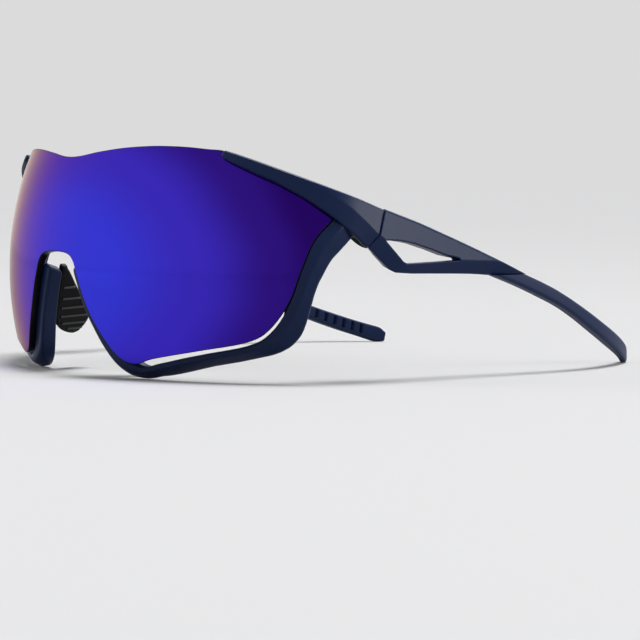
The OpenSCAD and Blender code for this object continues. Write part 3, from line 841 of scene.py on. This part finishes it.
def buildPads():
    rings = [padRing(t) for t in spaced(pad["endShare"], 1 - pad["endShare"], pad["steps"])]
    body = skin(withSoftEnds(rings, pad["endRound"], pad["endRound"]))
    tree, names = ribTree()
    twoSides("nose_pad", [body], blackRubber, "front")
    verts, edges = [], []
    for t in spaced(pad["ribFrom"], pad["ribTo"], pad["ribs"] - 1):
        line = padRib(t)
        edges += [(len(verts) + k, len(verts) + k + 1) for k in range(len(line) - 1)]
        verts += line
    for side, sign in sideSigns.items():
        ribs = newPiece(f"nose_pad_ribs_{side}", (), placed(verts, sign), edges, [])
        # The ribs get the lighter rubber, its colour a painted glint on their tops
        runTree(ribs, tree, names, {
            "Rib Radius": pad["ribRadius"] * mm, "Sides": pad["ribSides"], "Material": ribRubberPaintedGlint})
        smoothPiece(ribs)
        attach(ribs, "front")


buildPads()
print("nose pads made")

# Temples: two facets that meet in a crease along the window's lower edge
temple = {
    "length": 99.6, "seamOpen": 0.28, "seamBack": 0.6, "innerRise": 1.0, "creaseAt": 0.68, "creaseX": 73.3,
    "leanUp": 0.11, "leanBack": 0.0265, "bandLean": 1.2, "topRound": 0.8, "edgeRound": 0.38, "edgeSteps": 4,
    "innerX": 69.56,
    "topLine": [(0.112, 0.922), (0.221, 0.831), (0.305, 0.758), (0.388, 0.683)],
    "windowTop": [(0.04, 0.816), (0.085, 0.8), (0.142, 0.764), (0.191, 0.728), (0.238, 0.708)],
    "windowLow": [(0.053, 0.697), (0.065, 0.684), (0.12, 0.687), (0.18, 0.691), (0.241, 0.696)],
    "windowFront": (0, 0.819), "rearCrease": (0.315, 0.688), "tip": (0.469, 0.604), "strutMid": 0.5,
    "lowLine": [(0.017, 0.648), (0.034, 0.632), (0.085, 0.623), (0.145, 0.62), (0.247, 0.614), (0.29, 0.61),
                (0.348, 0.604)]}
seamTop = browPoint(1, 0, brow["proud"])
seamCrease = browPoint(1, temple["creaseAt"], brow["proud"])
seamFoot = browPoint(1, 1, brow["proud"])


def sideAt(share):
    return Vector((seamTop.y + share[0] * temple["length"], share[1] * seamTop.z))


def buildTemples():
    back = Vector((temple["seamOpen"], 0))
    frontTop = Vector((seamTop.y, seamTop.z)) + back
    frontFoot = Vector((seamFoot.y, seamFoot.z)) + back
    crease = Vector((seamCrease.y, seamCrease.z)) + back
    top = [sideAt(s) for s in temple["topLine"]]
    windowTop = [sideAt(s) for s in temple["windowTop"]]
    windowLow = [sideAt(s) for s in temple["windowLow"]]
    front = sideAt(temple["windowFront"])
    rear = sideAt(temple["rearCrease"])
    tip = sideAt(temple["tip"])
    low = [sideAt(s) for s in temple["lowLine"]]
    strut = mix(frontFoot, low[0], temple["strutMid"])
    bandTop = [crease, front] + windowLow + [rear, top[-1], tip]
    bandLow = [frontFoot, strut] + low + [tip]
    outer = {}

    def facetX(q):
        return temple["creaseX"] - temple["leanUp"] * (q.y - crease.y) - temple["leanBack"] * (q.x - crease.x)

    def key(q):
        return (round(q.x, 4), round(q.y, 4))

    for q in [frontTop, *top, *windowTop, *bandTop]:
        outer[key(q)] = Vector((facetX(q), q.x, q.y))
    for q, above in zip(bandLow, bandTop):
        outer.setdefault(key(q), Vector((facetX(above) - temple["bandLean"], q.x, q.y)))
    lifted = {key(q) for q in bandLow[:-2]}
    fronts = {key(q) for q in (frontTop, frontFoot, crease)}
    keys = list(outer)
    number = {k: i for i, k in enumerate(keys)}
    verts = [outer[k] for k in keys]
    for k in keys:
        rise = temple["innerRise"] if k in lifted else 0
        setBack = temple["seamBack"] if k in fronts else 0
        verts.append(Vector((temple["innerX"], k[0] + setBack, k[1] + rise)))
    upper = [frontTop, *top, rear, windowLow[-1], *windowTop[::-1], front, crease]
    polygons = [[number[key(q)] for q in upper]]
    for i in range(len(bandTop) - 1):
        quad = [bandTop[i], bandTop[i + 1], bandLow[i + 1], bandLow[i]]
        polygons.append(list(dict.fromkeys(number[key(q)] for q in quad)))
    count = len(keys)
    outline = [frontTop, *top, tip, *bandLow[-2::-1], crease]
    window = [front, *windowTop, *windowLow[::-1]]
    loops = [[number[key(q)] for q in line] for line in (outline, window)]
    faces = [tuple(p) for p in polygons] + [tuple(i + count for i in reversed(p)) for p in polygons]
    soft = set()
    for loop in loops:
        for i, j in zip(loop, loop[1:] + loop[:1]):
            faces.append((i, j, j + count, i + count))
            soft |= {frozenset((i, j)), frozenset((i + count, j + count))}
    soft |= {frozenset((loops[0][k], loops[0][k] + count)) for k in (0, -2)}
    bright = {frozenset(pair) for pair in zip(loops[0][:len(top) + 1], loops[0][1:])}
    for line in ((crease, front), (windowLow[-1], rear, top[-1])):
        ends = [number[key(q)] for q in line]
        soft |= {frozenset(pair) for pair in zip(ends, ends[1:])}
    for side, sign in sideSigns.items():
        name = f"temple_arm_{side}"
        piece = newPiece(name + "_look", (satinNavy,), placed(verts, sign), [], faces)
        work = bmesh.new()
        work.from_mesh(piece.data)
        bmesh.ops.recalc_face_normals(work, faces=work.faces)
        weight = work.edges.layers.float.new("bevel_weight_edge")
        for edge in work.edges:
            ends = frozenset(v.index for v in edge.verts)
            if ends in bright:
                edge[weight] = 1
            elif ends in soft:
                edge[weight] = temple["edgeRound"] / temple["topRound"]
        work.to_mesh(piece.data)
        work.free()
        bevelPiece(piece, temple["topRound"], temple["edgeSteps"])
        settle(piece, f"{side}_temple", name)


buildTemples()
print("temples made")

# Ear grips: soft sleeves that bend inwards in plan, with cross grooves inside
grip = {
    "thickness": 3.8, "outward": 0.1, "bowRadius": 63.0, "straight": 56.0, "sideX": 73.16, "rings": 400,
    "around": 72, "squareness": 4.5, "seamGap": 0.06, "taper": [(0.75, 1), (1, 0.5)], "taperEase": 0.05,
    "grooves": 14, "groovePitch": 3.0, "grooveWidth": 1.2, "grooveDepth": 0.9, "grooveFrom": 2.0,
    "grooveSpan": (-0.5, 0.75), "grooveLean": 0.15, "grooveFade": 3,
    "endShare": 0.036, "endCut": 0.82, "endFall": 0.55, "endRoundness": 2.5, "tipRound": 0.9, "tipAim": 60,
    "topLine": [(0.469, 0.604), (0.52, 0.561), (0.573, 0.511), (0.633, 0.447), (0.695, 0.379), (0.77, 0.301),
                (0.836, 0.239), (0.906, 0.178), (0.957, 0.136), (1.001, 0.102)],
    "lowLine": [(0.358, 0.604), (0.447, 0.535), (0.534, 0.458), (0.596, 0.398), (0.659, 0.326),
                (0.734, 0.238), (0.808, 0.162), (0.882, 0.093), (0.94, 0.042), (0.995, -0.011)]}


def buildGrips():
    drop = Vector((0, grip["seamGap"]))
    top = evenLine([sideAt(s) - drop for s in grip["topLine"]], grip["rings"])
    low = evenLine([sideAt(s) - drop for s in grip["lowLine"]], grip["rings"])
    bowY = seamTop.y + grip["straight"]
    bowX = grip["sideX"] - grip["bowRadius"]
    outerR = grip["bowRadius"] + grip["outward"]
    innerR = outerR - grip["thickness"]
    power = grip["squareness"]

    def grooveAt(y, along):
        if y <= bowY or not grip["grooveSpan"][0] < along < grip["grooveSpan"][1]:
            return 0
        at = innerR * math.asin((y - bowY) / innerR) - grip["grooveFrom"]
        i = round(at / grip["groovePitch"])
        if not 0 <= i < grip["grooves"]:
            return 0
        away = abs(at - i * grip["groovePitch"]) / (grip["grooveWidth"] / 2)
        return grip["grooveDepth"] * max(0, 1 - away ** 2)

    rings = []
    for i, (upper, lower) in enumerate(zip(top, low)):
        tail = max(0, 1 - (1 - i / grip["rings"]) / grip["endShare"])
        roundness = grip["endRoundness"]
        kept = (1 - (grip["endCut"] * tail) ** roundness) ** (1 / roundness)
        fall = mix(1, kept, grip["endFall"])  # the end is rounded, more from above
        lift = mix(kept, 1, grip["endFall"])
        upper, lower = mix(lower, upper, fall), mix(upper, lower, lift)
        centre, reach = (upper + lower) / 2, (upper - lower) / 2
        half = grip["thickness"] / 2 * easedUp(grip["taper"], i / grip["rings"], grip["taperEase"])
        ring = []
        for k in range(grip["around"]):
            turn = 2 * math.pi * k / grip["around"]
            c, s = math.cos(turn), math.sin(turn)
            spread = (abs(c) ** power + abs(s) ** power) ** (-1 / power)
            along, across = spread * c, spread * s
            q = centre + reach * along
            groove = grooveAt(mix(q.x, centre.x, grip["grooveLean"]), along)
            radial = outerR + half * (across - 1) + groove * max(0, -across) ** grip["grooveFade"]
            x = bowX + (radial if q.x < bowY else math.sqrt(radial ** 2 - (q.x - bowY) ** 2))
            ring.append(Vector((x, q.x, max(q.y, 0))))
        rings.append(ring)
    onward = (sum(rings[-1], Vector()) - sum(rings[-grip["tipAim"]], Vector())).normalized()
    rings += softEnd(rings[-1], onward, grip["tipRound"])
    rings = [[Vector((p.x, p.y, max(p.z, 0))) for p in ring] for ring in rings]
    twoSides("ear_grip", [skin(rings)], softNavy, "{}_temple")


buildGrips()
print("ear grips made")

# Hinge blocks and leaves: the frame's own solids with their edges broken
hinge = {
    "blockRound": 0.25, "leafRound": 0.15, "roundSteps": 3, "flatAngle": 2.0, "edgeAngle": 40.0,
    "weld": 0.002, "underside": 0.3, "blockDrop": 2.3, "blockSlope": 0.72}


def easeEdges(node, material, width, drop, slope, body):
    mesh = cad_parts[node].data.copy()
    mesh.materials.clear()
    mesh.materials.append(material)
    work = bmesh.new()
    work.from_mesh(mesh)
    lowest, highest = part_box(node)
    for v in work.verts:  # a block's underside follows the brow arm's lower edge
        if v.co.z < lowest.z + hinge["underside"] * mm:
            v.co.z = lowest.z - drop * mm + slope * (highest.y - v.co.y)
    bmesh.ops.remove_doubles(work, verts=work.verts, dist=hinge["weld"] * mm)
    bmesh.ops.dissolve_limit(
        work, angle_limit=math.radians(hinge["flatAngle"]), verts=work.verts, edges=work.edges)
    work.to_mesh(mesh)
    work.free()
    piece = newObject(node + "_look", mesh)
    bevelPiece(piece, width, hinge["roundSteps"], hinge["edgeAngle"])
    settle(piece, body, node)


# The hinge blocks get the near-black finish, partly painted shade, and their undersides are let down to fill
# the shaded strip under the arms
for side in sideSigns:
    easeEdges(f"hinge_block_{side}", blackNylonAndPaintedShade, hinge["blockRound"], hinge["blockDrop"], hinge["blockSlope"],
              "front")
    easeEdges(f"hinge_leaf_{side}", brushedSteel, hinge["leafRound"], 0, 0, f"{side}_temple")
print("hinges made")

# Slotted screws
screw = {
    "shankRadius": 0.8, "headRadius": 1.3, "headHeight": 0.7, "slotWidth": 0.4, "slotDepth": 0.35,
    "chamfer": 0.2, "sides": 48, "sharpAngle": 30}


def screwTree():
    tree, names, given = newTree("slottedScrew", {
        "Shank Radius": "Float", "Shank Length": "Float", "Head Radius": "Float", "Head Height": "Float",
        "Slot Width": "Float", "Slot Depth": "Float", "Chamfer": "Float", "Axis": "Vector",
        "Material": "Material"})

    def lifted(mesh, height):
        offset = newNode(tree, "ShaderNodeCombineXYZ", {"Z": height}).outputs["Vector"]
        move = newNode(tree, "GeometryNodeTransform", {"Geometry": mesh, "Translation": offset})
        return move.outputs["Geometry"]

    def cone(bottom, top, height):
        node = newNode(tree, "GeometryNodeMeshCone", {
            "Vertices": screw["sides"], "Radius Bottom": bottom, "Radius Top": top, "Depth": height})
        return node.outputs["Mesh"]

    headR, headH, chamfer = given["Head Radius"], given["Head Height"], given["Chamfer"]
    shankR, shankL = given["Shank Radius"], given["Shank Length"]
    drumH = mathNode(tree, "SUBTRACT", headH, chamfer)
    drum = cone(headR, headR, drumH)
    crown = lifted(cone(headR, mathNode(tree, "SUBTRACT", headR, chamfer), chamfer), drumH)
    shank = lifted(cone(shankR, shankR, shankL), mathNode(tree, "MULTIPLY", shankL, -1))
    size = newNode(tree, "ShaderNodeCombineXYZ", {
        "X": given["Slot Width"], "Y": mathNode(tree, "MULTIPLY", headR, 4),  # past the head on both sides
        "Z": mathNode(tree, "MULTIPLY", given["Slot Depth"], 2)})
    cutter = newNode(tree, "GeometryNodeMeshCube", {"Size": size.outputs["Vector"]})
    head = tree.nodes.new("GeometryNodeMeshBoolean")
    head.operation = "UNION"
    for mesh in (drum, crown, shank):
        feed(tree, head, {"Mesh 2": mesh})
    cut = tree.nodes.new("GeometryNodeMeshBoolean")
    cut.operation = "DIFFERENCE"
    feed(tree, cut, {"Mesh 1": head.outputs["Mesh"], "Mesh 2": lifted(cutter.outputs["Mesh"], headH)})
    turned = newNode(tree, "FunctionNodeAlignRotationToVector", {"Vector": given["Axis"]})
    turned.axis = "Z"
    scatter = newNode(tree, "GeometryNodeInstanceOnPoints", {
        "Points": given["Geometry"], "Instance": cut.outputs["Mesh"], "Rotation": turned.outputs["Rotation"]})
    endTree(tree, scatter.outputs["Instances"], given["Material"])
    return tree, names


def buildScrews():
    tree, names = screwTree()
    sizes = {"Shank Radius": "shankRadius", "Head Radius": "headRadius", "Head Height": "headHeight",
             "Slot Width": "slotWidth", "Slot Depth": "slotDepth", "Chamfer": "chamfer"}
    rows = (("hinge_screw", (0, 0, 1), "front"), ("frame_screw", (-1, 0, 0), "front"),
            ("leaf_screw", (-1, 0, 0), "{}_temple"))
    for part, axis, body in rows:
        for side, sign in sideSigns.items():
            node = f"{part}_{side}"
            lowest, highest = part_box(node)
            centre = (lowest + highest) / 2
            point = Vector((axis[0] * sign, axis[1], axis[2]))
            length = abs((highest - lowest).dot(point))
            seat = centre + point * (length / 2 - screw["headHeight"] * mm)
            piece = newPiece(node + "_look", (), [seat], [], [])
            values = {label: screw[size] * mm for label, size in sizes.items()}
            values["Shank Length"] = length - screw["headHeight"] * mm
            runTree(piece, tree, names, values | {"Axis": point, "Material": brushedSteel})
            smoothPiece(piece, screw["sharpAngle"])
            settle(piece, body.format(side), node)


buildScrews()
print("screws made")

# Floor, light and camera
studio = {
    "floorHalf": 14.0, "floorColour": (0.78, 0.78, 0.79), "paler": 1.03, "cloudScale": 3, "cloudDetail": 2,
    "mirrorColour": (0.65, 0.65, 0.66), "bounceColour": (0.42, 0.42, 0.43), "floorRoughness": 0.6,
    "world": 0.22, "shown": 0.71}
sky = {"from": (0.1, 0.08, 1.0), "angle": 24, "strength": 2.15}
lampTarget = Vector((0, 0, 0.02))
lamps = {
    "sideLamp": {"place": (0.98, 0.62, 0.24), "size": 0.42, "power": 4.5, "diffuse": True, "glossy": True},
    "frontLamp": {"place": (-0.9, -1.25, 0.8), "size": 0.8, "power": 4.0, "diffuse": True, "glossy": False},
    "edgeLamp": {"place": (-0.28, 0.72, 0.98), "size": 1.1, "power": 12.0, "diffuse": False, "glossy": True}}
shot = {
    "place": (0.5354, -0.31578 + foreY, 0.0489), "tilt": 86.8, "turn": 53.1, "lens": 134.17, "sensor": 36.0,
    "clipStart": 0.01}


def floorMaterial():
    material, tree, surface = newMaterial("paleFloor")
    cloud = noiseNode(tree, objectSpot(tree), studio["cloudScale"], studio["cloudDetail"])
    paler = [c * studio["paler"] for c in studio["floorColour"]]
    tone = colourMix(tree, cloud, (*studio["floorColour"], 1), (*paler, 1))
    ray = tree.nodes.new("ShaderNodeLightPath").outputs
    shown = colourMix(tree, ray["Is Camera Ray"], (*studio["bounceColour"], 1), tone)
    shown = colourMix(tree, ray["Is Glossy Ray"], shown, (*studio["mirrorColour"], 1))
    feed(tree, surface, {
        "Base Color": shown, "Roughness": studio["floorRoughness"], "Specular IOR Level": 0})
    return material


def buildFloor():
    half = studio["floorHalf"]
    corners = [(-half, -half, 0), (half, -half, 0), (half, half, 0), (-half, half, 0)]
    newPiece("floor", (floorMaterial(),), corners, [], [(0, 1, 2, 3)])


def buildWorld():
    world = bpy.data.worlds.new("studio")
    bpy.context.scene.world = world
    world.use_nodes = True
    tree = world.node_tree
    ray = tree.nodes.new("ShaderNodeLightPath").outputs
    seen = mathNode(tree, "MAXIMUM", ray["Is Camera Ray"], ray["Is Glossy Ray"])
    seen = mathNode(tree, "MAXIMUM", seen, ray["Is Transmission Ray"])
    spread = mathNode(tree, "MULTIPLY", seen, studio["shown"] - studio["world"])
    strength = mathNode(tree, "ADD", spread, studio["world"])
    feed(tree, tree.nodes["Background"], {"Color": (1, 1, 1, 1), "Strength": strength})


def aim(holder, way):
    holder.rotation_euler = way.to_track_quat("-Z", "Y").to_euler()


def addSun(name):
    light = bpy.data.lights.new(name, "SUN")
    light.energy = sky["strength"]
    light.angle = math.radians(sky["angle"])
    aim(newObject(name, light), -Vector(sky["from"]))


def addLamp(name, lamp):
    light = bpy.data.lights.new(name, "AREA")
    light.energy = lamp["power"]
    light.shape = "DISK"
    light.size = lamp["size"]
    holder = newObject(name, light)
    holder.location = lamp["place"]
    holder.visible_diffuse = lamp["diffuse"]
    holder.visible_glossy = lamp["glossy"]
    aim(holder, lampTarget - Vector(lamp["place"]))


def buildCamera():
    camera = bpy.data.cameras.new("shot")
    camera.lens = shot["lens"]
    camera.sensor_width = shot["sensor"]
    camera.clip_start = shot["clipStart"]
    holder = newObject("shot", camera)
    holder.location = shot["place"]
    holder.rotation_euler = (math.radians(shot["tilt"]), 0, math.radians(shot["turn"]))
    bpy.context.scene.camera = holder


buildFloor()
buildWorld()
addSun("skyLamp")
for name, lamp in lamps.items():
    addLamp(name, lamp)
buildCamera()
bpy.context.scene.view_settings.view_transform = "Standard"
print("studio ready")
